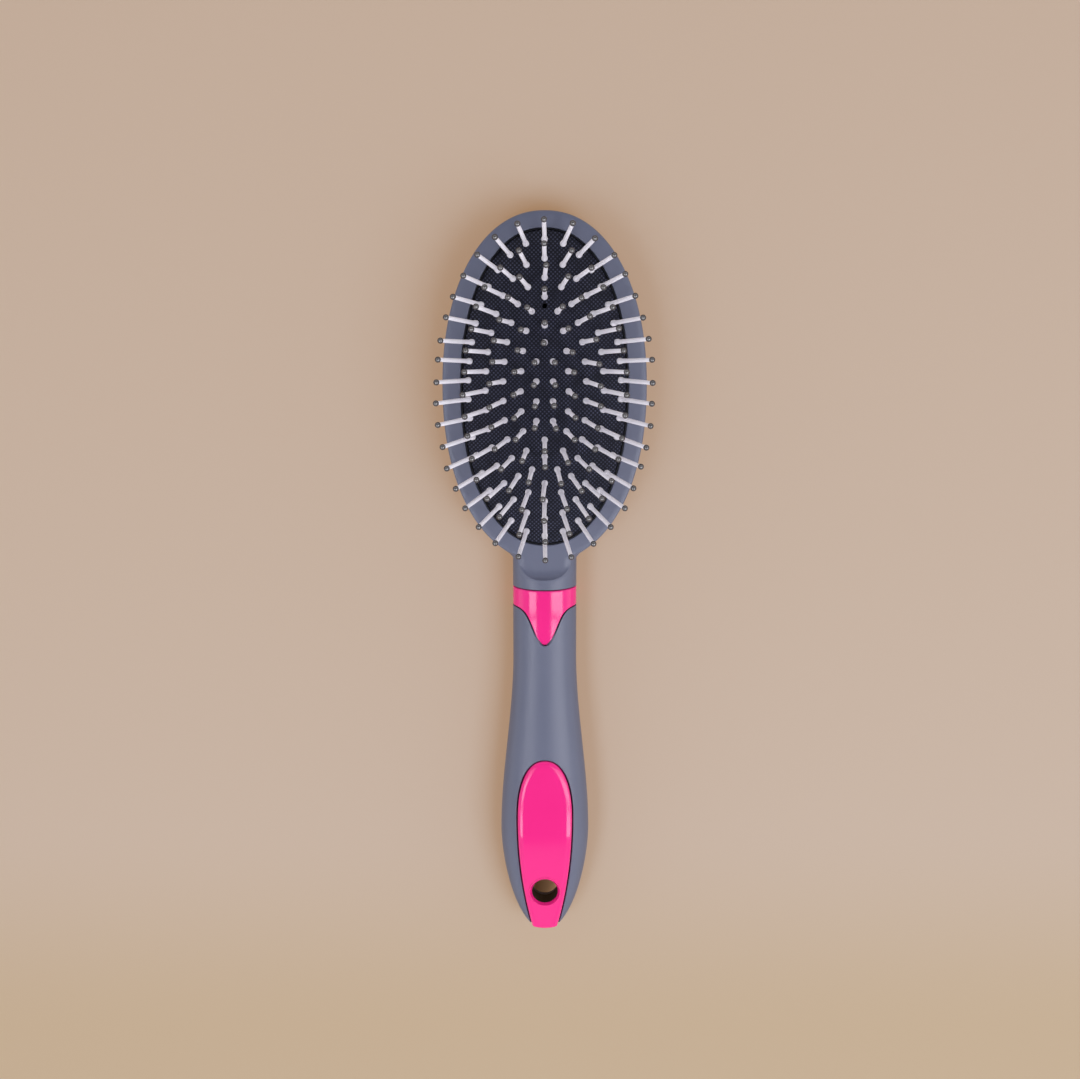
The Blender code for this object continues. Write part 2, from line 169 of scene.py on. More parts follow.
def dress(piece, body, slot, material, *nodes):
    piece.data.materials.clear()
    piece.data.materials.append(material)
    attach(piece, body)
    if nodes:
        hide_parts(*nodes)


# camera at the photograph's angle

camera = {
    "lens": 54.51, "sensor": 36,
    "place": (-0.00093, 0.10695, 0.53488),
    "tilt": (-10.03, 0.064, -0.05),  # degrees
}


def placeCamera():
    data = bpy.data.cameras.new("photoCamera")
    data.lens = camera["lens"]
    data.sensor_width = camera["sensor"]
    view = bpy.data.objects.new("photoCamera", data)
    view.location = camera["place"]
    view.rotation_mode = "ZYX"
    view.rotation_euler = [math.radians(angle) for angle in camera["tilt"]]
    stageCollection.objects.link(view)
    bpy.context.scene.camera = view


placeCamera()
print("camera placed")


# shader groups that several finishes share

def newGroup(name, inputs, outputs):
    group = bpy.data.node_groups.new(name, "ShaderNodeTree")
    kind = "NodeSocketFloat"
    for socketName, value in inputs:
        socket = group.interface.new_socket(socketName, in_out="INPUT", socket_type=kind)
        socket.default_value = value
    for socketName in outputs:
        group.interface.new_socket(socketName, in_out="OUTPUT", socket_type=kind)
    return group, group.nodes.new("NodeGroupInput"), group.nodes.new("NodeGroupOutput")


def feed(tree, values, sockets):
    # each value is a socket to link, or else a number or a tone
    for value, socket in zip(values, sockets):
        if isinstance(value, bpy.types.NodeSocket):
            tree.links.new(value, socket)
        elif isinstance(value, tuple):
            socket.default_value = (*value, 1)
        else:
            socket.default_value = value


def mathNode(tree, operation, *values):
    node = tree.nodes.new("ShaderNodeMath")
    node.operation = operation
    feed(tree, values, node.inputs)
    return node.outputs[0]


def rangeNode(tree, value, fromLow=0.0, fromHigh=1.0, low=0.0, high=1.0, smooth=False):
    node = tree.nodes.new("ShaderNodeMapRange")
    if smooth:
        node.interpolation_type = "SMOOTHSTEP"
    feed(tree, (value, fromLow, fromHigh, low, high), node.inputs)
    return node.outputs["Result"]


def mixNode(tree, factor, first, second, blend="MIX"):
    node = tree.nodes.new("ShaderNodeMix")
    node.data_type = "RGBA"
    node.blend_type = blend
    feed(tree, (factor, first, second), [node.inputs[name] for name in ("Factor", "A", "B")])
    return node.outputs["Result"]


def splitPlace(tree, kind="Object"):
    place = tree.nodes.new("ShaderNodeTexCoord").outputs[kind]
    split = tree.nodes.new("ShaderNodeSeparateXYZ")
    tree.links.new(place, split.inputs[0])
    return place, split.outputs


def makeGrainGroup():
    # fine moulded grain: a height for bump, and a slow mask for tone and gloss
    group, taken, given = newGroup("mouldedGrain", [("Scale", 4000.0), ("Patch Scale", 60.0)],
                                   ["Height", "Mask"])
    place = group.nodes.new("ShaderNodeTexCoord")
    for scale, detail, result in (("Scale", 3.0, "Height"), ("Patch Scale", 2.0, "Mask")):
        noise = group.nodes.new("ShaderNodeTexNoise")
        noise.inputs["Detail"].default_value = detail
        group.links.new(place.outputs["Object"], noise.inputs["Vector"])
        group.links.new(taken.outputs[scale], noise.inputs["Scale"])
        group.links.new(noise.outputs["Fac"], given.inputs[result])
    return group


def makeHatchGroup():
    # two sets of slanting ribs, crossed to small raised diamonds
    group, taken, given = newGroup(
        "crossHatch", [("Pitch", 0.00065), ("Softness", 0.5), ("Sharpness", 1.0)],
        ["Height", "Mask"])
    _, split = splitPlace(group)
    turnsPerRib = mathNode(group, "DIVIDE", math.tau / math.sqrt(2), taken.outputs["Pitch"])
    ribs = []
    for operation in ("ADD", "SUBTRACT"):
        along = mathNode(group, operation, split["X"], split["Y"])
        wave = mathNode(group, "COSINE", mathNode(group, "MULTIPLY", along, turnsPerRib))
        ribs.append(mathNode(group, "MULTIPLY_ADD", wave, 0.5, 0.5))
    crossed = mathNode(group, "MULTIPLY", ribs[0], ribs[1])
    for power, result in (("Softness", "Height"), ("Sharpness", "Mask")):
        raised = mathNode(group, "POWER", crossed, taken.outputs[power])
        group.links.new(raised, given.inputs[result])
    return group


grainGroup = makeGrainGroup()
hatchGroup = makeHatchGroup()


def startMaterial(name, specular):
    material = bpy.data.materials.new(name)
    material.use_nodes = True
    shader = material.node_tree.nodes["Principled BSDF"]
    shader.inputs["Specular IOR Level"].default_value = specular
    return material, material.node_tree, shader


def placeGroup(tree, group, **values):
    node = tree.nodes.new("ShaderNodeGroup")
    node.node_tree = group
    for socketName, value in values.items():
        node.inputs[socketName.replace("_", " ")].default_value = value
    return node


def bumpFrom(tree, height, shader, distance):
    bump = tree.nodes.new("ShaderNodeBump")
    bump.inputs["Distance"].default_value = distance
    tree.links.new(height, bump.inputs["Height"])
    tree.links.new(bump.outputs["Normal"], shader.inputs["Normal"])


finish = {
    # grain and patches are scales, and a pair of roughnesses follows the mask or the grain
    "softTouchGrey": {"tones": ((0.112, 0.122, 0.180), (0.125, 0.136, 0.200)),
                      "roughness": (0.34, 0.42), "roughFrom": "Mask",
                      "specular": 0.5, "grain": 5200.0, "patches": 45.0, "relief": 0.00002},
    "glossPink": {"tones": ((0.87, 0.018, 0.226), (0.91, 0.024, 0.247)),
                  "roughness": (0.10, 0.16), "roughFrom": "Height",
                  "specular": 0.5, "grain": 900.0, "patches": 70.0, "relief": 0.000004},
    "blackPlastic": {"tones": ((0.008, 0.008, 0.011), (0.014, 0.014, 0.018)), "roughness": 0.45,
                     "specular": 0.3, "grain": 3000.0, "patches": 80.0, "relief": 0.00002},
    "whiteNylon": {"tones": ((0.92, 0.89, 0.95), (0.96, 0.94, 1.00)), "roughness": 0.45,
                   "specular": 0.2, "grain": 2500.0, "patches": 400.0, "relief": 0.00001},
    "dippedTip": {"tones": ((0.056, 0.050, 0.053), (0.074, 0.067, 0.071)),
                  "roughness": (0.10, 0.16), "roughFrom": "Mask",
                  "specular": 0.15, "grain": 2500.0, "patches": 700.0, "relief": 0.0000015},
}
rubberLook = {
    # groove and ridge tones: painted shade in the hatch's grooves and painted light on its ridges,
    # over the real relief
    "groove": (0.0115, 0.0118, 0.0180), "ridge": (0.074, 0.079, 0.128),
    "pitch": 0.00094, "sharpness": 1.4, "patches": (2.2, -0.2), "grainShare": 0.15,
    "roughness": 0.72, "relief": 0.00009,
}
tipCoat = {"fall": (0.08, 0.36), "index": 2.2, "roughness": 0.05}


def makePlastic(name):
    # grain in relief, with slow patches in the tone and in some finishes in the gloss
    look = finish[name]
    material, tree, shader = startMaterial(name, look["specular"])
    grain = placeGroup(tree, grainGroup, Scale=look["grain"], Patch_Scale=look["patches"])
    tree.links.new(mixNode(tree, grain.outputs["Mask"], *look["tones"]),
                   shader.inputs["Base Color"])
    rough = look["roughness"]
    if isinstance(rough, tuple):
        rough = rangeNode(tree, grain.outputs[look["roughFrom"]], low=rough[0], high=rough[1])
    feed(tree, [rough], [shader.inputs["Roughness"]])
    bumpFrom(tree, grain.outputs["Height"], shader, look["relief"])
    return material


def makeRubber():
    material, tree, shader = startMaterial("hatchedRubber", 0.10)
    shader.inputs["Roughness"].default_value = rubberLook["roughness"]
    hatch = placeGroup(tree, hatchGroup, Pitch=rubberLook["pitch"],
                       Sharpness=rubberLook["sharpness"])
    grain = placeGroup(tree, grainGroup, Scale=3500.0, Patch_Scale=260.0)
    patches = mathNode(tree, "MULTIPLY_ADD", grain.outputs["Mask"], *rubberLook["patches"])
    mask = mathNode(tree, "MULTIPLY", hatch.outputs["Mask"], patches)
    # the hatch's grooves get a dark tone and its raised diamonds a light one: painted shade and
    # light on top of the real relief, which the bump only hints at
    tree.links.new(mixNode(tree, mask, rubberLook["groove"], rubberLook["ridge"]),
                   shader.inputs["Base Color"])
    height = mathNode(tree, "MULTIPLY_ADD", grain.outputs["Height"], rubberLook["grainShare"],
                      hatch.outputs["Height"])
    bumpFrom(tree, height, shader, rubberLook["relief"])
    return material


def makeTip():
    # painted reflection: the coat follows the viewing angle, full where the ball faces the camera
    # and gone towards its outline
    material = makePlastic("dippedTip")
    tree = material.node_tree
    shader = tree.nodes["Principled BSDF"]
    turned = tree.nodes.new("ShaderNodeLayerWeight")
    viewFacingCoat = rangeNode(tree, turned.outputs["Facing"], *tipCoat["fall"], 1.0, 0.0, smooth=True)
    tree.links.new(viewFacingCoat, shader.inputs["Coat Weight"])
    shader.inputs["Coat IOR"].default_value = tipCoat["index"]
    shader.inputs["Coat Roughness"].default_value = tipCoat["roughness"]
    return material


grey, pink = makePlastic("softTouchGrey"), makePlastic("glossPink")
black, nylon = makePlastic("blackPlastic"), makePlastic("whiteNylon")
rubber, tipFinish = makeRubber(), makeTip()
print("finishes made")


# head shell: bowl, rim, neck and tang in one moulding

shell = {
    "halfWidth": 0.03255, "halfLength": 0.0558, "power": 2.15,
    "rimFallWidth": 0.0021, "rimFall": 0.00045, "rimRound": 0.0004,
    "backRoundWidth": 0.016, "backRoundHeight": 0.010,
    "openingHalfWidth": 0.02675, "openingHalfLength": 0.0505, "openingPower": 2.15,
    "innerRound": 0.00035, "ledgeZ": 0.0105, "ledgeWidth": 0.0033,
    "floorZ": 0.0026, "floorRound": 0.004,
    "neckHalfWidth": 0.0104, "neckHalfDepth": 0.0075, "neckEnd": 0.06505, "neckPower": 2.2,
    "filletStart": 0.0482, "filletEnd": 0.058, "filletBlend": 0.0055, "shoulderReach": 0.0536,
    "backFlank": 0.0128, "backFlankSlope": 0.25, "backBlend": 0.0045,
    "backRise": 20, "backRiseStart": 0.050, "backNeckStart": 0.030,
    "crestStart": 0.0545, "crestLength": 0.0090, "crestBlend": 0.0006, "crestFade": 0.054,
    "crestPower": 4, "crestPowerRun": (0.053, 0.011),
    "scoopMiddle": 0.052, "scoopHalfWidth": 0.0090, "scoopLength": 0.0098, "scoopPower": 2.5,
    "scoopWall": (0.52, 1.0), "scoopSteepness": 0.82, "scoopBlend": 0.04, "scoopLimit": 1.15,
    "scoopDepth": 0.0004, "scoopFall": (0.0555, 0.0062),
    "beadHeight": 0.00030, "beadWidth": 0.042, "beadPlace": 1.01, "beadRun": (0.0520, 0.0030),
    "neckSag": 0.0005, "cornerCut": 0.0001, "floorRings": (0.8, 0.5, 0.2),
    "backRows": ((-0.056, -0.034), (0.040, 0.024), (0.0525, 0.040), (0.058, 0.053)),
    "tangHalfWidth": 0.0055, "tangHalfDepth": 0.003, "tangPower": 4, "tangEnd": 0.098,
    "tangChamfer": 0.0006,
}
edgeSteepness = 4  # how fast a face falls away outside its outline


def smoothRun(reach, run):
    # rises from 0 to 1 from a reach on, over a length
    start, length = run
    return smoothStep((reach - start) / length)


def planHalfWidth(reach):
    share = np.minimum(np.abs(reach) / shell["halfLength"], 1)
    headHalf = shell["halfWidth"] * roundedRise(share, shell["power"])
    joined = smoothMax(headHalf, shell["neckHalfWidth"], shell["filletBlend"])
    return np.where(reach > 0, joined, headHalf)


def headInset(across, reach):
    # distance inside the head's outline, negative outside it
    power = shell["power"]
    u = np.abs(across) / shell["halfWidth"]
    v = np.abs(reach) / shell["halfLength"]
    size = np.maximum((u**power + v**power) ** (1 / power), 0.05)
    slope = np.hypot(u ** (power - 1) / shell["halfWidth"], v ** (power - 1) / shell["halfLength"])
    return (1 - size) / (size ** (1 - power) * slope)


def neckFlank(reach):
    start = shell["shoulderReach"]
    return np.where(reach > start, planHalfWidth(reach),
                    planHalfWidth(np.asarray(start)) + start - reach)


def shellFront(across, reach):
    inset = headInset(across, reach)
    rimFace = rimZ - quarterDrop(np.maximum(inset, 0), shell["rimFallWidth"], shell["rimFall"])
    rimFace = rimFace - quarterDrop(np.maximum(inset, 0), shell["rimRound"], shell["rimRound"])
    rimFace = rimFace - edgeSteepness * np.maximum(-inset, 0)
    crest = smoothRun(reach, (shell["crestStart"], shell["crestLength"]))
    top = rimZ + (axisZ + shell["neckHalfDepth"] - rimZ) * crest
    flatter = shell["crestPower"] - shell["neckPower"]
    power = shell["crestPower"] - flatter * smoothRun(reach, shell["crestPowerRun"])
    flank = neckFlank(reach)
    share = np.minimum(np.abs(across) / flank, 1)
    neckFace = axisZ + (top - axisZ) * roundedRise(share, power)
    neckFace = neckFace - edgeSteepness * np.maximum(np.abs(across) - flank, 0)
    neckFace = neckFace - np.maximum(shell["crestFade"] - reach, 0)
    face = smoothMax(rimFace, neckFace, shell["crestBlend"])
    # the scoop is flat inside, climbs a round wall and ends in a thin bead
    along = np.maximum(reach - shell["scoopMiddle"], 0) / shell["scoopLength"]
    power = shell["scoopPower"]
    place = ((np.abs(across) / shell["scoopHalfWidth"])**power + along**power) ** (1 / power)
    first, last = shell["scoopWall"]
    dish = smoothRun(reach, shell["scoopFall"])
    climb = np.clip((place - first) / (last - first), 0, 1.1) * shell["scoopSteepness"]
    wall = (1 - np.sqrt(1 - climb**2)) / (1 - math.sqrt(1 - shell["scoopSteepness"] ** 2))
    step = smoothMin(wall, 1, shell["scoopBlend"])
    bead = shell["beadHeight"] * np.exp(-((place - shell["beadPlace"]) / shell["beadWidth"]) ** 2)
    bead = bead * smoothRun(reach, shell["beadRun"])
    scooped = rimZ - shell["scoopDepth"] * dish * (1 - step) + (face - rimZ) * step
    return bead + np.where((place < shell["scoopLimit"]) & (reach > 0), scooped, face)


def shellBack(across, reach):
    inset = headInset(across, reach)
    bowl = quarterDrop(np.maximum(inset, 0), shell["backRoundWidth"], shell["backRoundHeight"])
    bowl = bowl + edgeSteepness * np.maximum(-inset, 0)
    rise = shell["backRise"] * np.maximum(shell["backRiseStart"] - reach, 0) ** 2
    before = shell["shoulderReach"] - reach
    flank = np.minimum(neckFlank(reach), shell["backFlank"] + shell["backFlankSlope"] * before)
    flank = np.where(before < 0, planHalfWidth(reach), flank)
    share = np.minimum(np.abs(across) / flank, 1)
    neckBack = axisZ - (shell["neckHalfDepth"] - rise) * roundedRise(share, shell["neckPower"])
    neckBack = neckBack + edgeSteepness * np.maximum(np.abs(across) - flank, 0)
    neckBack = neckBack + np.maximum(shell["backNeckStart"] - reach, 0)
    return np.maximum(smoothMin(bowl, neckBack, shell["backBlend"]), 0)


def openingCurve(turns, inset):
    return ovalCurve(turns, shell["openingHalfWidth"] - inset, shell["openingHalfLength"] - inset,
                     shell["openingPower"])


def makeShell():
    filletStart, neckStart, end = shell["filletStart"], shell["filletEnd"], shell["neckEnd"]
    lastTurn = -math.asin((filletStart / shell["halfLength"]) ** (shell["power"] / 2))
    headTurns = np.linspace(math.pi / 2, lastTurn, 121)[:-1]
    mouthTurns = np.linspace(lastTurn, -math.pi / 2, 61)
    headX, headReach = ovalCurve(headTurns, shell["halfWidth"], shell["halfLength"], shell["power"])
    filletReach = np.linspace(filletStart, neckStart, 61)
    neckReach = np.linspace(neckStart, end, 60)[1:]
    rimX = np.concatenate([headX, planHalfWidth(filletReach), planHalfWidth(neckReach)])
    rimReach = np.concatenate([headReach, filletReach, neckReach])

    # front face, from the outline to the opening's edge, then to the neck's middle line
    turns = np.concatenate([headTurns, mouthTurns])
    mouthX, mouthReach = openingCurve(turns, -shell["innerRound"])
    mouthX[0] = mouthX[-1] = 0
    innerX = np.concatenate([mouthX, np.zeros(len(neckReach))])
    spine = np.linspace(mouthReach[-1], end, len(neckReach) + 1)[1:]
    innerReach = np.concatenate([mouthReach, spine])
    share = 1 - np.cos(np.linspace(0, math.pi / 2, 43))
    frontX = rimX[:, None] + (innerX - rimX)[:, None] * share
    frontReach = rimReach[:, None] + (innerReach - rimReach)[:, None] * share
    frontZ = shellFront(frontX, frontReach)
    frontZ[: len(turns), -1] = rimZ

    # back, from the outline to the middle line, where the rows are drawn together
    spine = np.interp(rimReach, *zip(*shell["backRows"], (end, end)))
    backX = rimX[:, None] * (1 - share)
    backReach = rimReach[:, None] + (spine - rimReach)[:, None] * share
    backZ = shellBack(backX, backReach)
    backX[:, -1] = 0

    side = np.linspace(0, 1, 6)
    sideZ = backZ[:, :1] + (frontZ[:, :1] - backZ[:, :1]) * side
    skin = np.concatenate([
        points(backX, backReach, backZ)[:, ::-1],
        points(rimX[:, None], rimReach[:, None], sideZ)[:, 1:-1],
        points(frontX, frontReach, frontZ),
    ], axis=1)

    # the neck's end curves up at its sides
    side = (skin[..., 0] / shell["neckHalfWidth"]) ** 2
    late = smoothStep((headY - skin[..., 1] - neckStart) / (end - neckStart))
    skin[..., 1] += shell["neckSag"] * side * late

    # the tang goes on from the neck's end
    aim = np.arctan2(skin[-1, :, 2] - axisZ, np.maximum(skin[-1, :, 0], 0))
    tangX = shell["tangHalfWidth"] * bent(np.cos(aim), shell["tangPower"])
    tangZ = shell["tangHalfDepth"] * bent(np.sin(aim), shell["tangPower"])
    tangX[0] = tangX[-1] = 0
    tang = []
    tangEnd, chamfer = shell["tangEnd"], shell["tangChamfer"]
    for reach, inset in ((end, 0), (tangEnd - chamfer, 0), (tangEnd, chamfer)):
        scaleX = 1 - inset / shell["tangHalfWidth"]
        scaleZ = 1 - inset / shell["tangHalfDepth"]
        tang.append(points(tangX * scaleX, reach, axisZ + tangZ * scaleZ))
    skin = np.concatenate([skin, np.array(tang)], axis=0)

    # inside: rounded edge, wall, ledge, chamber and floor
    turnDown = np.linspace(0, math.pi / 2, 6)
    lip = shell["innerRound"]
    ledgeZ, ledgeWidth, cut = shell["ledgeZ"], shell["ledgeWidth"], shell["cornerCut"]
    profile = [(-lip * (1 - math.sin(a)), rimZ - lip * (1 - math.cos(a))) for a in turnDown]
    profile += [(0, ledgeZ + cut), (cut, ledgeZ)]
    profile += [(ledgeWidth - cut, ledgeZ), (ledgeWidth, ledgeZ - cut)]
    low = shell["floorZ"] + shell["floorRound"]
    for a in turnDown:
        profile.append((ledgeWidth + shell["floorRound"] * (1 - math.cos(a)),
                        low - shell["floorRound"] * math.sin(a)))
    inside = [points(*openingCurve(turns, inset), z) for inset, z in profile]
    floorX, floorReach = openingCurve(turns, profile[-1][0])
    for scale in shell["floorRings"]:
        inside.append(points(floorX * scale, floorReach * scale, shell["floorZ"]))
    for row in inside:
        row[0, 0] = row[-1, 0] = 0
    return meshPiece("headShell", [skin, np.array(inside)], [skin[-1], inside[-1]], mirror=True)


dress(makeShell(), "brush", "soft_grey", grey, "head_shell")
print("head shell made")


# cushion: crowned rubber with its side wall and flange, and the ring that holds it down

cushion = {
    "crownRound": 0.0051, "crownFlat": 0.0037, "thickness": 0.0024,
    "inset": 0.0008, "wall": 0.0021, "flangeLow": 0.0108, "flangeHigh": 0.0123,
    "edgeRound": 0.0004, "ventDiameter": 0.0016, "ventReach": -0.0264,
    "press": 0.003, "anchorZ": 0.0130, "flangeRun": 0.0002, "cavityLift": 0.0004,
    "frameOuter": 0.00012, "frameInner": 0.00055, "frameLow": 0.0126, "frameHigh": 0.0142,
}


def crownSize(across, reach):
    # 0 in the middle of the cushion and 1 at the opening's edge
    return (across / shell["openingHalfWidth"]) ** 2 + (reach / shell["openingHalfLength"]) ** 2


def crown(across, reach):
    size = crownSize(across, reach)
    return cushion["crownRound"] * (1 - size) + cushion["crownFlat"] * (1 - size * size)


def crownNormal(across, reach):
    steepness = 2 * (cushion["crownRound"] + 2 * cushion["crownFlat"] * crownSize(across, reach))
    slopeX = steepness * across / shell["openingHalfWidth"] ** 2
    slopeReach = steepness * reach / shell["openingHalfLength"] ** 2
    return unit(np.stack([slopeX, -slopeReach, np.ones_like(slopeX)], axis=-1))


def makeCushion():
    turns = np.linspace(0, math.tau, 193)[:-1]
    rows = []

    def addRow(inset, scale, z=None, drop=0.0):
        x, reach = openingCurve(turns, inset)
        x, reach = x * scale, reach * scale
        height = rimZ + crown(x, reach) - drop if z is None else z
        rows.append(points(x, reach, height))

    shares = np.sin(np.linspace(0, math.pi / 2, 60)[1:])
    edge = cushion["edgeRound"]
    for share in shares:
        addRow(cushion["inset"] + edge, share)
    shoulderZ = rows[-1][:, 2].mean()
    for a in np.linspace(0, math.pi / 2, 6)[1:]:
        addRow(cushion["inset"] + edge * (1 - math.sin(a)), 1,
               z=shoulderZ - edge * (1 - math.cos(a)))
    flange = cushion["frameOuter"] + cushion["flangeRun"]
    inner = cushion["inset"] + cushion["wall"]
    addRow(cushion["inset"], 1, z=cushion["flangeHigh"])
    addRow(flange, 1, z=cushion["flangeHigh"])
    addRow(flange, 1, z=cushion["flangeLow"])
    addRow(inner, 1, z=cushion["flangeLow"])
    addRow(inner, 1, z=rimZ - cushion["thickness"] + cushion["cavityLift"])
    for share in shares[::-4]:
        addRow(inner, share, drop=cushion["thickness"])
    grid = np.array(rows)
    piece = meshPiece("cushionDome", [grid], [grid[0], grid[-1]], wrap=True, sharpAngle=50)
    drillHole(piece, cushion["ventDiameter"], cushion["ventReach"], rimZ, 0.04, 24)
    dress(piece, "brush", "pad_rubber", rubber, "cushion_pad")
    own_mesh(piece)


def makeFrameRing():
    turns = np.linspace(0, math.tau, 193)[:-1]
    low, high = cushion["frameLow"], cushion["frameHigh"]
    middle = (cushion["frameOuter"] + cushion["frameInner"]) / 2
    half = (cushion["frameInner"] - cushion["frameOuter"]) / 2
    profile = [(middle - half, low)]
    for a in np.linspace(0, math.pi, 9):
        profile.append((middle - half * math.cos(a), high - half + half * math.sin(a)))
    profile += [(middle + half, low), (middle - half, low)]
    rows = [points(*openingCurve(turns, inset), z) for inset, z in profile]
    piece = meshPiece("frameRing", [np.array(rows)], wrap=True)
    dress(piece, "brush", "black_plastic", black, "pad_frame")


makeCushion()
makeFrameRing()
print("cushion made")


# pins: white shafts on a boss, with dipped ball tips

pins = {
    "firstHalfWidth": 0.0240, "firstHalfLength": 0.0468,
    "lastHalfWidth": 0.0075, "lastHalfLength": 0.0292,
    "firstCount": 38, "countStep": 6, "rows": 4,
    "pairX": 0.0026, "pairReach": (0.0031, 0.0093), "singleReach": (0.0152, 0.0205),
    "length": 0.0158, "ballRadius": 0.00095, "ballStart": 40, "facets": 20,
    "profile": ((-0.0015, 0.00100), (0.0005, 0.00100), (0.0008, 0.00097), (0.0011, 0.00089),
                (0.0014, 0.00079), (0.0018, 0.00072), (0.0026, 0.00070), (0.0100, 0.00067),
                (0.0155, 0.00063)),
    "seed": 5, "lean": 0.9,  # degrees that a pin may stand off square
}
leanDraw = np.random.default_rng(pins["seed"])


def ovalPlaces(halfWidth, halfLength, count):
    turns = np.linspace(0, math.tau, 4001)
    x = halfWidth * np.sin(turns)
    reach = -halfLength * np.cos(turns)
    run = np.concatenate([[0], np.cumsum(np.hypot(np.diff(x), np.diff(reach)))])
    stops = run[-1] * np.arange(count) / count
    return np.stack([np.interp(stops, run, x), np.interp(stops, run, reach)], axis=-1)


def centrePlaces():
    places = []
    for end in (-1, 1):
        places += [(0, end * reach) for reach in pins["singleReach"]]
        for reach in pins["pairReach"]:
            places += [(-pins["pairX"], end * reach), (pins["pairX"], end * reach)]
    return np.array(places, float)


def turnedRings(profile, feet, axes, facets):
    # one lathe profile set on every foot, square to the cushion
    across = unit(np.cross(axes, np.array([0.0, 1.0, 0.0])))
    along = np.cross(axes, across)
    turns = np.linspace(0, math.tau, facets + 1)[:-1]
    out = across[:, None] * np.cos(turns)[:, None] + along[:, None] * np.sin(turns)[:, None]
    grids = []
    for foot, axis, ring in zip(feet, axes, out):
        grids.append(np.array([foot + axis * height + ring * radius for height, radius in profile]))
    return grids


def endRings(grids):
    return [grid[0] for grid in grids] + [grid[-1] for grid in grids]


def makePins(name, tipName, body, places):
    # each group's body has the same name as its node
    x, reach = places.T
    feet = points(x, reach, rimZ + crown(x, reach))
    axes = crownNormal(x, reach)
    axes = unit(axes + leanDraw.normal(0, math.radians(pins["lean"]), axes.shape))
    shafts = turnedRings(pins["profile"], feet, axes, pins["facets"])
    dress(meshPiece(name, shafts, endRings(shafts), wrap=True), body, "pin_nylon", nylon, body)
    radius = pins["ballRadius"]
    tipProfile = []
    for a in np.linspace(math.radians(pins["ballStart"]), math.pi, 15)[:-1]:
        tipProfile.append((pins["length"] - radius * math.cos(a), radius * math.sin(a)))
    tipProfile.append((pins["length"] + radius, 0.02 * radius))
    balls = turnedRings(tipProfile, feet, axes, pins["facets"])
    dress(meshPiece(tipName, balls, endRings(balls), wrap=True), body, "pin_tip", tipFinish)


for row in range(pins["rows"]):
    step = row / (pins["rows"] - 1)
    places = ovalPlaces(
        pins["firstHalfWidth"] + (pins["lastHalfWidth"] - pins["firstHalfWidth"]) * step,
        pins["firstHalfLength"] + (pins["lastHalfLength"] - pins["firstHalfLength"]) * step,
        pins["firstCount"] - pins["countStep"] * row,
    )
    makePins(f"pinsRow{row + 1}", f"tipsRow{row + 1}", f"pin_row_{row + 1}", places)
makePins("pinsCentre", "tipsCentre", "centre_pins", centrePlaces())
print("pins made")


# handle: collar, grip, core and inlay all follow one surface

handle = {
    "neckWidth": 0.0208, "neckDepth": 0.015, "gripWidth": 0.0293, "gripDepth": 0.017,
    "power": 2.2, "swellStart": 0.088, "belly": 0.148, "end": 0.183,
    "waist": 0.0005, "waistIn": 0.024, "waistOut": (0.0895, 0.052),
    "noseLength": 0.0365, "nosePower": 1.66, "noseDepth": 0.0066, "noseDepthPower": 1.23,
    "noseRound": 0.0014, "noseTurn": -0.5, "noseSpread": 0.75, "noseLeastDepth": 0.0002,
    "wall": 0.0024, "gap": 0.00015, "edgeRound": 0.00035,
    "collarStart": 0.06535, "collarEnd": 0.0711,
    "tongueLength": 0.0102, "tongueSpread": 0.00472, "tonguePower": 2.7, "tongueDip": 0.0004,
    "skirtLength": 0.0024, "skirtSpread": 0.0108, "straightStart": 0.0871,
    "inlayTop": 0.1225, "inlayArch": 0.0198, "inlayArchPower": 2.22, "inlayHalfWidth": 0.0092,
    "inlayEndHalfWidth": 0.0042, "inlayTaperPower": 2.1, "inlayProud": 0.0005,
    "inlayRows": ((0, 0.0075), (0.014, 0.017), (0.024, 0.0245)), "inlayLift": 0.0001,
    "inlayLipZ": 0.0080, "inlayDish": 0.0001, "bevelWidth": 0.0021, "bevelHeight": 0.00058,
    "bevelShare": 0.8, "bevelEdge": 0.0004, "bevelLimit": (0.0004, 0.0017), "grooveHalf": 0.00018,
    "endCornerInset": 0.0022, "endSag": 0.0003, "endSolid": 0.0052,
    "holeReach": 0.1688, "holeDiameter": 0.0093, "inlayHoleFlares": 2.4,
    "drillRun": (-0.004, 0.03), "coreDrillRun": (-0.004, 0.02),
    "coreBore": 0.0087, "coreStart": 0.07125, "coreGap": 0.0003, "socketEnd": 0.0983,
    "eyeletDepth": 0.0010, "eyeletFlare": 0.00025, "eyeletSeat": 0.0004,
    "eyeletLip": ((0.0006, -0.0008), (0.0006, -0.0001), (0.00052, 0.00010), (0.00036, 0.00024),
                  (0.00022, 0.00025), (0.00008, 0.00016), (0, 0)),
    "linerDepth": 0.0034, "linerGap": 0.00002, "linerInset": 0.00004,
}


def handleSwell(reach):
    return smoothRun(reach, (handle["swellStart"], handle["belly"] - handle["swellStart"]))


def handleHalfWidth(reach):
    swell = (handle["gripWidth"] - handle["neckWidth"]) * handleSwell(reach)
    half = (handle["neckWidth"] + swell) / 2
    nose = np.maximum(reach - handle["belly"], 0) / handle["noseLength"]
    return half * np.sqrt(np.maximum(1 - nose ** handle["nosePower"], 0))


def handleHalfDepth(reach):
    depth = handle["neckDepth"] + (handle["gripDepth"] - handle["neckDepth"]) * handleSwell(reach)
    nose = np.maximum(reach - handle["belly"], 0) / (handle["end"] - handle["belly"])
    depth = depth - (handle["gripDepth"] - handle["noseDepth"]) * nose ** handle["noseDepthPower"]
    waist = smoothRun(reach, (handle["collarStart"], handle["waistIn"]))
    waist = waist * (1 - smoothRun(reach, handle["waistOut"]))
    return depth / 2 - handle["waist"] * waist


def sectionRise(share):
    return roundedRise(np.minimum(share, 1), handle["power"])


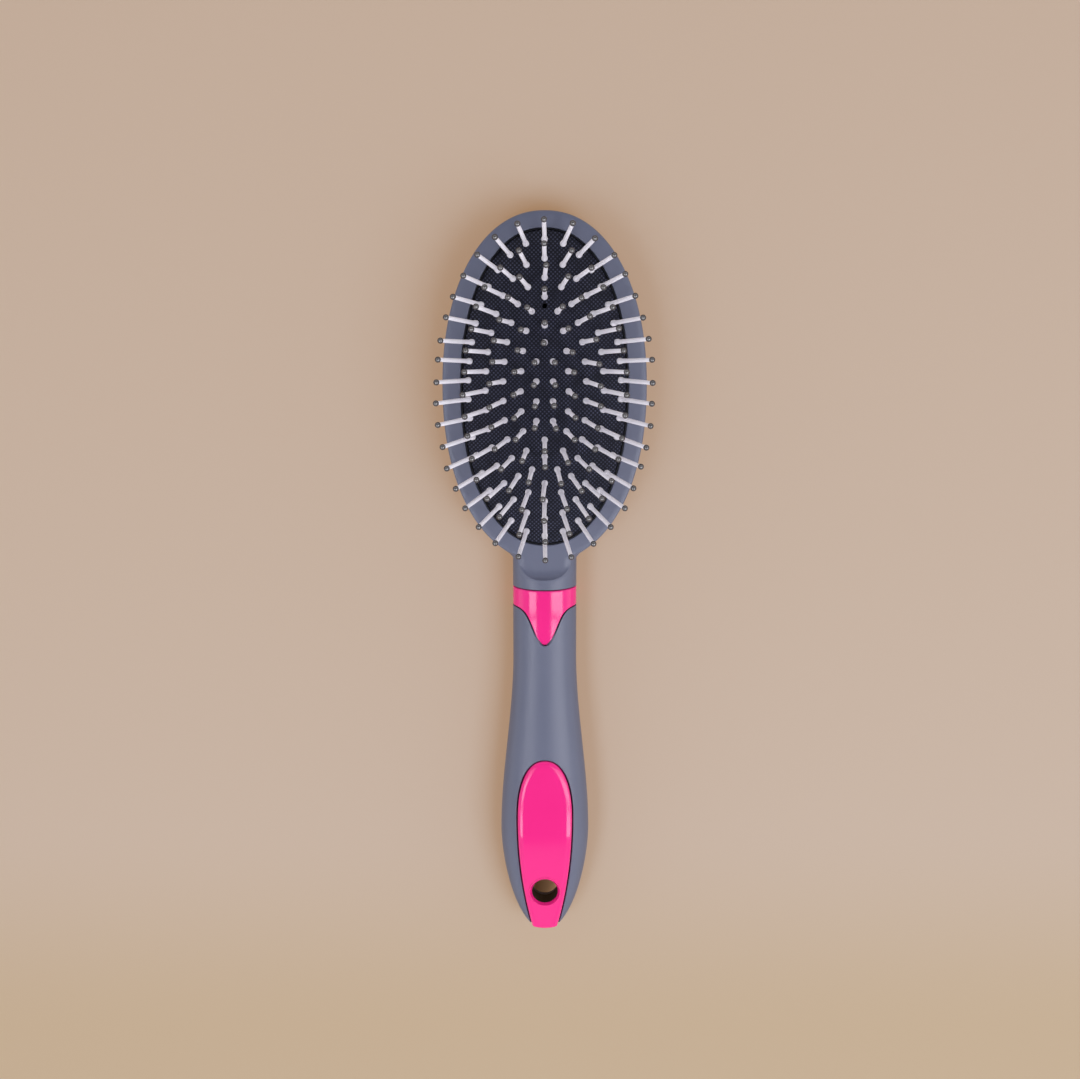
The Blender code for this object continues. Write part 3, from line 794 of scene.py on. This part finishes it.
def handleFront(across, reach):
    return axisZ + handleHalfDepth(reach) * sectionRise(np.abs(across) / handleHalfWidth(reach))


def plateTop(across, reach):
    flatter = handle["inlayDish"] * (across / handle["inlayHalfWidth"]) ** 2
    return axisZ + handleHalfDepth(reach) + handle["inlayProud"] - flatter


def plateFall(fromEdge, edgeFall):
    # a soft fall towards the plate's edge that ends in a small round
    soft = np.minimum(handle["bevelHeight"], handle["bevelShare"] * edgeFall)
    slope = np.clip(1 - fromEdge / handle["bevelWidth"], 0, 1)
    edgeDrop = quarterDrop(np.maximum(fromEdge, 0), handle["bevelEdge"], edgeFall - soft)
    return soft * slope**2 + edgeDrop


def sectionPoints(turns, reach, halfWidth, halfDepth, power=None):
    power = power or handle["power"]
    return points(halfWidth * bent(np.cos(turns), power), reach,
                  axisZ + halfDepth * bent(np.sin(turns), power))


def tongueRun(across):
    away = np.abs(across)
    spread = (away / handle["tongueSpread"]) ** handle["tonguePower"]
    tongue = handle["tongueLength"] * np.exp(-spread)
    skirt = handle["skirtLength"] * np.maximum(1 - (away / handle["skirtSpread"]) ** 2, 0) ** 2
    return tongue + skirt


def lowerEdge(turns, gap):
    # reach of the collar's lower edge, with a gap square to it
    section = sectionPoints(turns, 0.0, handle["neckWidth"] / 2, handle["neckDepth"] / 2)
    across, height = section[..., 0], section[..., 2]
    front = height >= axisZ
    step = 0.00002
    slope = np.where(front, (tongueRun(across + step) - tongueRun(across - step)) / (2 * step), 0)
    run = np.where(front, tongueRun(across), 0)
    return handle["collarEnd"] + run + gap * np.hypot(1, slope), np.hypot(1, slope)


def makeCollar():
    turns = np.linspace(-math.pi / 2, 1.5 * math.pi, 289)[:-1]
    edge, stretch = lowerEdge(turns, -handle["gap"])
    edgeRound, wall = handle["edgeRound"], handle["wall"]
    start = handle["collarStart"] - shell["neckSag"] * np.cos(turns) ** 2
    stations = [(start, wall)]
    bend = np.linspace(0, math.pi / 2, 6)
    for a in bend:
        stations.append((start + edgeRound * (1 - np.cos(a)), edgeRound * (1 - math.sin(a))))
    last = edge - edgeRound * stretch
    for share in np.linspace(0, 1, 26)[1:-1]:
        stations.append((start + edgeRound + (last - start - edgeRound) * share, 0.0))
    for a in bend:
        stations.append((edge - edgeRound * stretch * (1 - math.sin(a)),
                         edgeRound * (1 - math.cos(a))))
    stations += [(edge, wall), (start, wall)]
    rows = []
    for reach, inset in stations:
        share = np.maximum(reach - handle["collarEnd"], 0) / handle["tongueLength"]
        inset = inset + handle["tongueDip"] * share**2
        rows.append(sectionPoints(turns, reach, handle["neckWidth"] / 2 - inset,
                                  handleHalfDepth(reach) - inset))
    piece = meshPiece("neckCollar", [np.array(rows)], wrap=True)
    dress(piece, "brush", "pink_gloss", pink, "neck_collar")


def inlayOutline(count):
    # the inlay's edge on the +X side, from its top to the handle's end, and its outward normal
    widest = handle["inlayHalfWidth"]
    archShare = np.linspace(0, 1, count) ** 2
    reach = handle["inlayTop"] + handle["inlayArch"] * archShare
    half = widest * roundedRise(1 - archShare, handle["inlayArchPower"])
    taperStart = handle["inlayTop"] + handle["inlayArch"]
    taper = np.linspace(0, 1, 2 * count)[1:]
    taperReach = taperStart + (handle["end"] - taperStart) * taper
    taperHalf = widest - (widest - handle["inlayEndHalfWidth"]) * taper ** handle["inlayTaperPower"]
    reach = np.concatenate([reach, taperReach])
    half = np.concatenate([half, taperHalf])
    tangent = unit(np.stack([np.gradient(half), np.gradient(reach)], axis=-1))
    normal = np.stack([tangent[:, 1], -tangent[:, 0]], axis=-1)
    normal[0] = (0, -1)
    return half, reach, normal


def noseRounding(flat):
    # reach and drop of the handle's rounded end, from where its face is still flat
    nose = np.linspace(0, math.pi / 2, 9)
    return flat + handle["noseRound"] * np.sin(nose), handle["noseRound"] * (1 - np.cos(nose))


def sleeveRow(turns, place, inset):
    return sectionPoints(turns, place, handleHalfWidth(place) - inset,
                         handleHalfDepth(place) - inset)


def makeGrip():
    half, reach, normal = inlayOutline(60)
    groove, wall, edgeRound = handle["grooveHalf"], handle["wall"], handle["edgeRound"]
    windowX = half + normal[:, 0] * groove
    windowReach = reach + normal[:, 1] * groove
    flat = handle["end"] - handle["inlayProud"] - handle["noseRound"]
    keep = windowReach < flat
    windowX, windowReach = windowX[keep], windowReach[keep]
    endReach, endDrop = noseRounding(flat)

    def skin(inset):
        share = np.linspace(0, 1, 49)
        if inset == 0:
            share = 1 - np.cos(share * math.pi / 2)
        turns = math.pi / 2 - math.pi * share
        first, _ = lowerEdge(turns, handle["gap"])
        straight = handle["straightStart"]
        rows = [sleeveRow(turns, first + (straight - first) * part, inset)
                for part in np.linspace(0, 1, 26)]
        rows += [sleeveRow(turns, place, inset)
                 for place in np.linspace(straight, windowReach[0], 60)[1:-1]]
        for x, place in zip(windowX, windowReach):  # beside the window
            cosine = min(x / (handleHalfWidth(place) - inset), 0.995) ** (handle["power"] / 2)
            turns = math.acos(cosine) - (math.acos(cosine) + math.pi / 2) * share
            rows.append(sleeveRow(turns, place, inset))
        lastTurn = turns[0]
        for step, (place, drop) in enumerate(zip(endReach, endDrop)):  # round the nose
            fall = smoothStep(step / (len(endReach) - 1))
            startTurn = lastTurn + (handle["noseTurn"] - lastTurn) * fall
            turns = startTurn - (startTurn + math.pi / 2) * share ** handle["noseSpread"]
            depth = max(handleHalfDepth(flat) - drop - inset, handle["noseLeastDepth"])
            rows.append(sectionPoints(turns, place, handleHalfWidth(place) - inset, depth))
        return np.array(rows)

    outer, inner = skin(0), skin(wall)
    closed = len(outer) - len(windowX) - len(endReach)
    # the edge beside the groove is rounded by its distance from the groove
    edgeX = np.concatenate([windowX, outer[closed + len(windowX):, 0, 0]])
    edgeReach = np.concatenate([windowReach, endReach])
    for row in range(closed - 12, len(outer)):
        across = outer[row, :, 0]
        place = headY - outer[row, :, 1]
        gaps = np.hypot(across[:, None] - edgeX, place[:, None] - edgeReach).min(axis=1)
        front = outer[row, :, 2] > axisZ
        outer[row, :, 2] -= np.where(front, quarterDrop(gaps, edgeRound, edgeRound), 0)
    rimWall = np.stack([outer[closed:, 0], inner[closed:, 0]], axis=1)
    startWall = np.stack([outer[0], inner[0]])
    endWall = np.stack([outer[-1], inner[-1]])
    return meshPiece("gripSleeve", [outer, inner, rimWall, startWall, endWall], mirror=True)


def makeInlay():
    half, reach, normal = inlayOutline(60)
    groove = handle["grooveHalf"]
    edgeX = np.maximum(half - normal[:, 0] * groove, 0)
    edgeReach = reach - normal[:, 1] * groove
    flat = handle["end"] - handle["noseRound"]
    keep = edgeReach < flat
    edgeX, edgeReach, normal = edgeX[keep], edgeReach[keep], normal[keep]
    endReach, endDrop = noseRounding(flat)
    share = np.sin(np.linspace(0, math.pi / 2, 44))

    # rows run from the middle line to the edge, and slant under the arch
    head = edgeReach[0]
    slant = [(head + rim, head + middle) for rim, middle in handle["inlayRows"]]
    spine = np.interp(edgeReach, *zip(*slant, (flat, flat)))
    across = edgeX[:, None] * share
    place = spine[:, None] + (edgeReach - spine)[:, None] * share
    fromEdge = (edgeX[:, None] - across) * normal[:, :1]
    fromEdge = fromEdge + (edgeReach[:, None] - place) * normal[:, 1:]
    edgeFall = plateTop(edgeX, edgeReach) - handleFront(edgeX, edgeReach)
    edgeFall = np.clip(edgeFall + handle["inlayLift"], *handle["bevelLimit"])
    top = points(across, place, plateTop(across, place) - plateFall(fromEdge, edgeFall[:, None]))
    endX = handle["inlayEndHalfWidth"] - groove - handle["endCornerInset"]
    lipZ = handle["inlayLipZ"]
    rows = []
    for at, drop in zip(endReach[1:], endDrop[1:]):
        turn = (at - flat) / handle["noseRound"]
        corner = 1 - math.sqrt(max(1 - turn**2, 0))
        x = (edgeX[-1] + (endX - edgeX[-1]) * corner) * share
        profile = plateTop(x, flat) - drop
        edge = plateFall(x[-1] - x, edgeFall[-1])
        bow = handle["endSag"] * (turn * share) ** 2
        rows.append(points(x, at - bow, np.maximum(profile - edge, lipZ)))
    rows.append(points(endX * share, handle["end"] - handle["endSag"] * share**2, lipZ))
    top = np.concatenate([top, np.array(rows)], axis=0)

    under = top.copy()
    x, place = under[..., 0], headY - under[..., 1]
    wall = handle["wall"]
    rise = sectionRise(np.abs(x) / np.maximum(handleHalfWidth(place) - wall, 0.001))
    under[..., 2] = axisZ + (handleHalfDepth(place) - wall) * rise
    solid = place > handle["end"] - handle["endSolid"]
    under[..., 2] = np.where(solid, lipZ, np.maximum(under[..., 2], lipZ))
    side = np.stack([top[:, -1], under[:, -1]], axis=1)
    endFace = np.stack([top[-1], under[-1]])
    return meshPiece("handleInlay", [top, under, side, endFace], mirror=True)


def makeEyelet():
    # the raised lip round the hang hole, its pink wall, and the black wall under that
    turns = np.linspace(0, math.tau, 97)[:-1]
    radius = handle["holeDiameter"] / 2
    bore, depth = handle["coreBore"] / 2, handle["eyeletDepth"]
    mouth = radius + handle["eyeletFlare"]
    lip = [(mouth + out, up) for out, up in handle["eyeletLip"]]
    lip += [(bore, -depth), (radius + handle["eyeletSeat"], -depth), lip[0]]
    outside, low = radius - handle["linerInset"], -handle["linerDepth"]
    high = -depth - handle["linerGap"]
    liner = [(bore, high), (outside, high), (outside, low), (bore, low), (bore, high)]
    for name, profile, slot, material in (("holeEyelet", lip, "pink_gloss", pink),
                                          ("holeLiner", liner, "black_plastic", black)):
        rows = []
        for size, lift in profile:
            x = size * np.cos(turns)
            reach = handle["holeReach"] - size * np.sin(turns)
            rows.append(points(x, reach, plateTop(x, reach) + lift))
        dress(meshPiece(name, [np.array(rows)], wrap=True), "brush", slot, material)


def makeCore():
    turns = np.linspace(0, math.tau, 129)[:-1]
    gap, start, belly = handle["coreGap"], handle["coreStart"], handle["belly"]
    inset = handle["wall"] + gap
    end = handle["end"] - handle["inlayProud"] - 2 * handle["wall"] - gap
    # the tang's socket, then the outside from the socket's mouth to the end
    rows = [sectionPoints(turns, reach, shell["tangHalfWidth"] + gap, shell["tangHalfDepth"] + gap,
                          shell["tangPower"]) for reach in (handle["socketEnd"], start)]
    for reach in np.concatenate([np.linspace(start, belly, 60), np.linspace(belly, end, 40)[1:]]):
        rows.append(sleeveRow(turns, reach, inset))
    grid = np.array(rows)
    piece = meshPiece("handleCore", [grid], [grid[0], grid[-1]], wrap=True)
    drillHole(piece, handle["coreBore"], handle["holeReach"], *handle["coreDrillRun"])
    dress(piece, "brush", "black_plastic", black, "handle_core")


makeCollar()
grip = makeGrip()
inlay = makeInlay()
inlayHole = handle["holeDiameter"] + handle["inlayHoleFlares"] * handle["eyeletFlare"]
for piece, diameter in ((grip, handle["holeDiameter"]), (inlay, inlayHole)):
    drillHole(piece, diameter, handle["holeReach"], *handle["drillRun"])
dress(grip, "brush", "soft_grey", grey, "grip")
dress(inlay, "brush", "pink_gloss", pink, "handle_inlay")
makeEyelet()
makeCore()
print("handle made")


# floor and studio light

studio = {
    "floorSize": 16, "floorRoughness": 0.9,
    "floorTone": (0.554, 0.424, 0.323), "floorLow": (0.524, 0.384, 0.250),
    "warmRun": (-0.085, -0.165), "shadeWarmth": (0.50, 0.25, 0.0),
    # painted shade on the paper under the hang hole, dark on the left and lighter on the right, and
    # its span across
    "paintedHoleShade": ((0.40, 0.24, 0.12), (1.25, 0.92, 0.64)), "holeSpan": (-0.003, 0.003),
    "holeShift": 0.0042, "holeEdge": (0.0030, 0.0056),
    "skyStrength": 1.27, "aimHeight": 0.01,
    "skyBands": ((0.0, (0.97, 0.94, 0.89)), (0.30, (0.95, 0.94, 0.93)), (0.45, (0.57, 0.59, 0.62)),
                 (0.80, (0.12, 0.125, 0.13))),
    "lampTone": (1.0, 1.0, 1.06),
    "boxes": (
        ("rightNeckBox", (0.56, -0.24, 0.98), (0.70, 0.24), 2.68),
        ("leftNeckBox", (-0.53, -0.24, 1.02), (0.41, 0.24), 1.65),
        ("rightHandleBox", (0.56, -0.54, 0.98), (0.70, 0.24), 2.95),
        ("leftHandleBox", (-0.53, -0.54, 1.02), (0.41, 0.24), 1.90),
        ("rightHeadBox", (0.56, 0.02, 0.98), (0.70, 0.28), 1.28),
        ("leftHeadBox", (-0.53, 0.02, 1.02), (0.41, 0.28), 0.66),
        ("frontBox", (0.0, -0.92, 0.98), (1.30, 0.42), 0.80),
    ),
}


def makeFloor():
    bpy.ops.mesh.primitive_grid_add(x_subdivisions=8, y_subdivisions=8, size=studio["floorSize"])
    floor = bpy.context.active_object
    floor.name = "paperFloor"
    material, tree, shader = startMaterial("palePaper", 0.1)
    shader.inputs["Roughness"].default_value = studio["floorRoughness"]
    place, split = splitPlace(tree)
    fade = rangeNode(tree, split["Y"], *studio["warmRun"], smooth=True)
    paper = mixNode(tree, fade, studio["floorTone"], studio["floorLow"])
    # part of the paper's tone is shown to the camera unlit, which keeps shadows light and warm
    rays = tree.nodes.new("ShaderNodeLightPath")
    seen = mathNode(tree, "ADD", rays.outputs["Is Camera Ray"], rays.outputs["Is Glossy Ray"])
    seen = mathNode(tree, "ADD", seen, rays.outputs["Is Transmission Ray"])
    seen = mathNode(tree, "MINIMUM", seen, 1.0)
    # but not under the hang hole, where the paper lies in the dark
    away = tree.nodes.new("ShaderNodeVectorMath")
    away.operation = "DISTANCE"
    away.inputs[1].default_value = (0, headY - handle["holeReach"] - studio["holeShift"], 0)
    tree.links.new(place, away.inputs[0])
    shown = rangeNode(tree, away.outputs["Value"], *studio["holeEdge"], smooth=True)
    seen = mathNode(tree, "MULTIPLY", seen, shown)
    # painted shade: under the hang hole the paper's tone is multiplied by a brown tone, dark on the
    # left and lighter on the right, fading out by the hole's edge
    across = rangeNode(tree, split["X"], *studio["holeSpan"])
    paintedShade = mixNode(tree, shown, mixNode(tree, across, *studio["paintedHoleShade"]), (1, 1, 1))
    paper = mixNode(tree, 1.0, paper, paintedShade, "MULTIPLY")
    lit = tuple(1 - part for part in studio["shadeWarmth"])
    for share, unseen, socketName in ((studio["shadeWarmth"], (0, 0, 0), "Emission Color"),
                                      (lit, (1, 1, 1), "Base Color")):
        tint = mixNode(tree, seen, unseen, share)
        tree.links.new(mixNode(tree, 1.0, paper, tint, "MULTIPLY"), shader.inputs[socketName])
    shader.inputs["Emission Strength"].default_value = 1.0
    grain = placeGroup(tree, grainGroup, Scale=1800.0, Patch_Scale=6.0)
    bumpFrom(tree, grain.outputs["Height"], shader, 0.00002)
    floor.data.materials.append(material)


def makeLights():
    world = bpy.data.worlds.new("studioWorld")
    world.use_nodes = True
    tree = world.node_tree
    sky = tree.nodes["Background"]
    sky.inputs["Strength"].default_value = studio["skyStrength"]
    _, split = splitPlace(tree, "Generated")
    bands = tree.nodes.new("ShaderNodeValToRGB")
    stops = bands.color_ramp.elements
    while len(stops) < len(studio["skyBands"]):
        stops.new(0.5)
    for stop, (height, tone) in zip(stops, studio["skyBands"]):
        stop.position, stop.color = height, (*tone, 1)
    tree.links.new(split["Z"], bands.inputs["Fac"])
    tree.links.new(bands.outputs["Color"], sky.inputs["Color"])
    bpy.context.scene.world = world
    for name, place, size, power in studio["boxes"]:
        data = bpy.data.lights.new(name, "AREA")
        data.shape = "RECTANGLE"
        data.size, data.size_y = size
        data.energy = power
        data.color = studio["lampTone"]
        lamp = bpy.data.objects.new(name, data)
        lamp.location = place
        aim = np.array([0, 0, studio["aimHeight"]]) - np.array(place)
        lamp.rotation_euler = (0, -math.atan2(aim[0], -aim[2]), 0)
        stageCollection.objects.link(lamp)


makeFloor()
makeLights()
bpy.context.scene.view_settings.view_transform = "Standard"
print("studio made")
